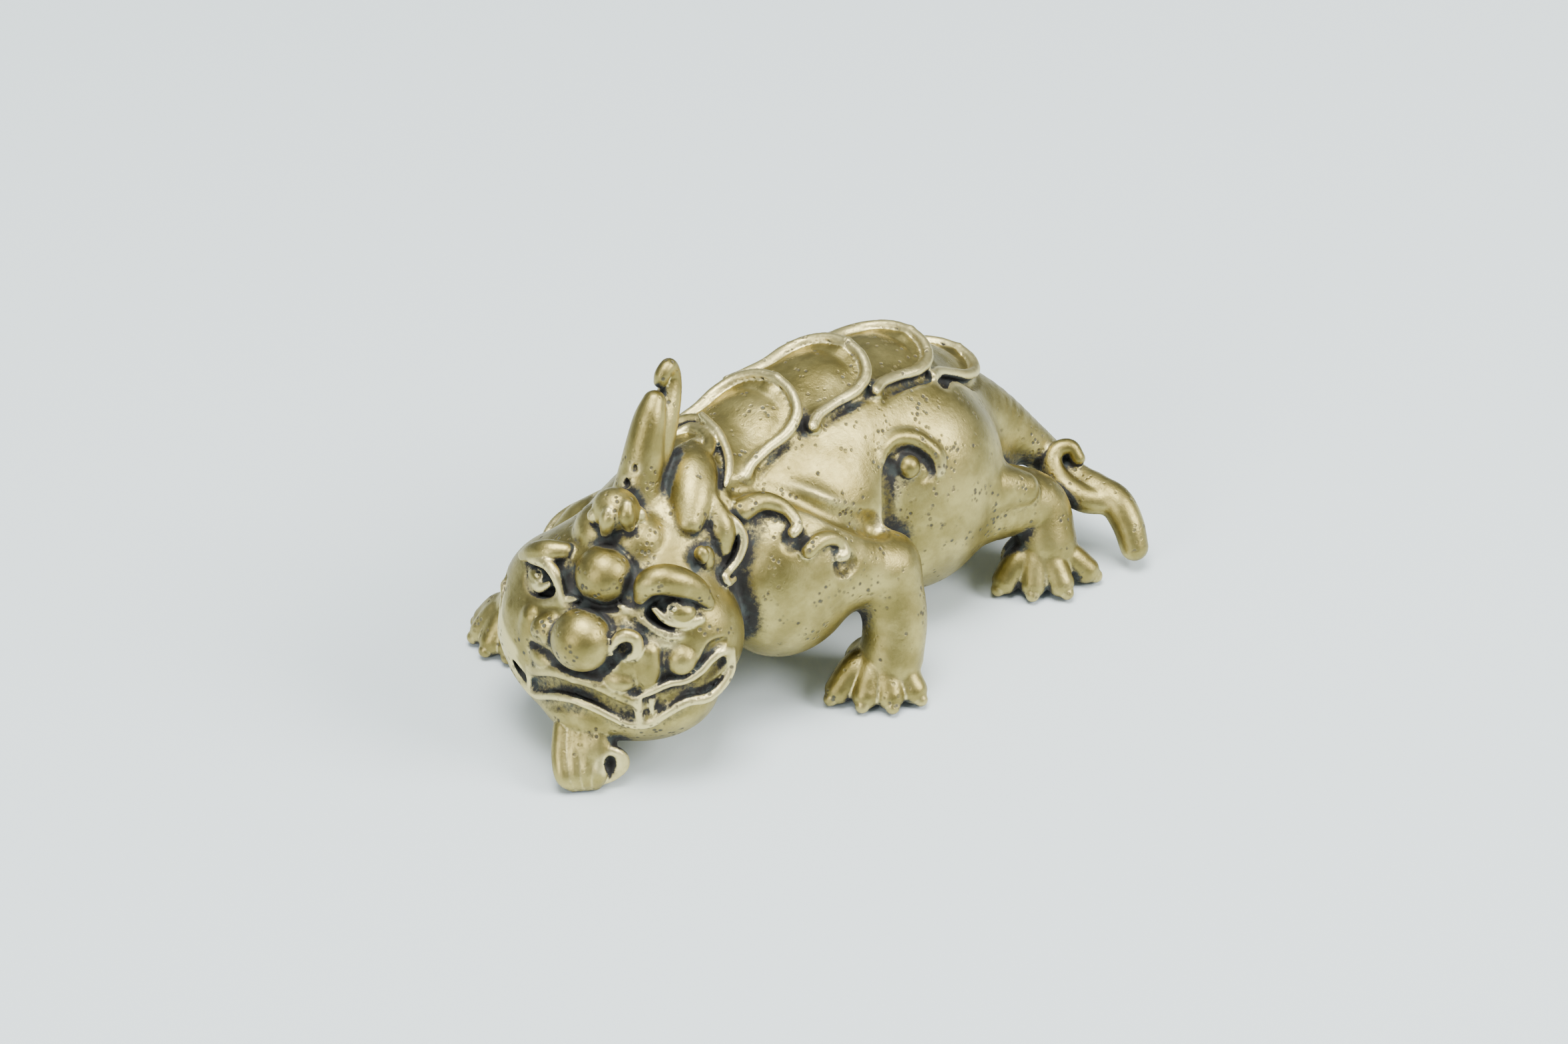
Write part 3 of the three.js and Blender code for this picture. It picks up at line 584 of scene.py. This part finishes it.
# Painted shade: the wide-recess value pulls the brass towards the dark colour under the belly, between the legs,
# behind the ears and near the table.
patina_and_painted_shade = maths("ADD", patina_and_painted_shade, maths("MULTIPLY", maths("SUBTRACT", wide_painted_shade_read, 0.3), 1.6))
patina_and_shade_share = graded(patina_and_painted_shade, 0.05, 0.55)
patina_and_shade_share = maths("MAXIMUM", patina_and_shade_share, maths("MULTIPLY", pits, 0.85))
metal = blend(graded(cloud, 0.35, 0.7), (0.25, 0.205, 0.065), (0.46, 0.385, 0.14))
metal = blend(graded(proud_read, 0.1, 0.5), metal, (0.72, 0.62, 0.28))
# This dark colour is the real black patina and verdigris in the small hollows, and also the painted shade in the wide
# recesses.
patina_and_shade_colour = blend(graded(noise(700, 4), 0.45, 0.7), (0.022, 0.020, 0.017), (0.045, 0.055, 0.05))
shader = node("ShaderNodeBsdfPrincipled")
links.new(blend(patina_and_shade_share, metal, patina_and_shade_colour), shader.inputs["Base Color"])
links.new(graded(patina_and_shade_share, 0.0, 1.0, 1.0, 0.25), shader.inputs["Metallic"])
links.new(maths("ADD", graded(patina_and_shade_share, 0.0, 1.0, 0.34, 0.62), maths("MULTIPLY", grain, 0.12)),
          shader.inputs["Roughness"])
bump = node("ShaderNodeBump", Strength=0.5, Distance=0.00012)
links.new(maths("SUBTRACT", maths("MULTIPLY", grain, 0.7), pits), bump.inputs["Height"])
links.new(bump.outputs["Normal"], shader.inputs["Normal"])
links.new(shader.outputs["BSDF"], node("ShaderNodeOutputMaterial").inputs["Surface"])
made.materials.append(brass)
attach(casting, "root")
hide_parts("mythical_beast")

# The table: a pale, slightly cool sheet that runs out of the picture on all sides.
bpy.ops.mesh.primitive_plane_add(size=3, location=(0, 0.6, -0.0001))
floor = bpy.context.object
floor.name = "table"
paper = bpy.data.materials.new("pale_table")
paper.use_nodes = True
paper.node_tree.nodes["Principled BSDF"].inputs["Base Color"].default_value = (0.70, 0.78, 0.79, 1)
paper.node_tree.nodes["Principled BSDF"].inputs["Roughness"].default_value = 0.6
floor.data.materials.append(paper)

# Soft studio light: a large panel high at the back, one on either side, and a pale room.
world = bpy.data.worlds.new("room")
bpy.context.scene.world = world
world.use_nodes = True
sky = world.node_tree.nodes
above = sky.new("ShaderNodeTexCoord")
height = sky.new("ShaderNodeSeparateXYZ")
world.node_tree.links.new(above.outputs["Generated"], height.inputs[0])
fade = sky.new("ShaderNodeMapRange")
fade.inputs["From Min"].default_value = 0.05
fade.inputs["From Max"].default_value = 0.9
fade.inputs["To Min"].default_value = 0.10
fade.inputs["To Max"].default_value = 0.75
world.node_tree.links.new(height.outputs["Z"], fade.inputs["Value"])
sky["Background"].inputs["Color"].default_value = (0.86, 0.95, 1.0, 1)
world.node_tree.links.new(fade.outputs["Result"], sky["Background"].inputs["Strength"])
for name, where, size, power in (("high_panel", (-0.10, -0.05, 0.80), 0.40, 11.0), ("left_panel", (-0.75, -0.05, 0.35), 0.25, 3.0),
                                 ("right_panel", (0.30, -0.60, 0.50), 0.35, 8.0)):
    panel = bpy.data.lights.new(name, "AREA")
    panel.size = size
    panel.energy = power
    lamp = bpy.data.objects.new(name, panel)
    lamp.location = where
    lamp.rotation_euler = (Vector((0, 0, 0.015)) - Vector(where)).to_track_quat("-Z", "Y").to_euler()
    bpy.context.collection.objects.link(lamp)

# The camera looks down at the beast's left front from about forty centimetres away.
azimuth = math.radians(-45)
rise = math.radians(35)
right = Vector((math.cos(azimuth), math.sin(azimuth), 0))
back = Vector((math.sin(azimuth) * math.cos(rise), -math.cos(azimuth) * math.cos(rise), math.sin(rise)))
up = back.cross(right)
distance = 420.0
focal_pixels = 15.0 * distance
ray = right * ((1310 - 2355 / 2) / focal_pixels) - up * ((1062 - 1568 / 2) / focal_pixels) - back
eye = bpy.data.cameras.new("camera")
eye.sensor_width = 36.0
eye.lens = 36.0 * focal_pixels / 2355
eye.clip_start = 0.01
camera = bpy.data.objects.new("camera", eye)
spot_mm = Vector((-2.5, -17, 0)) - Vector(middle) - ray * distance
camera.matrix_world = Matrix.Translation(spot_mm / 1000) @ Matrix((right, up, back)).transposed().to_4x4()
bpy.context.collection.objects.link(camera)
bpy.context.scene.camera = camera
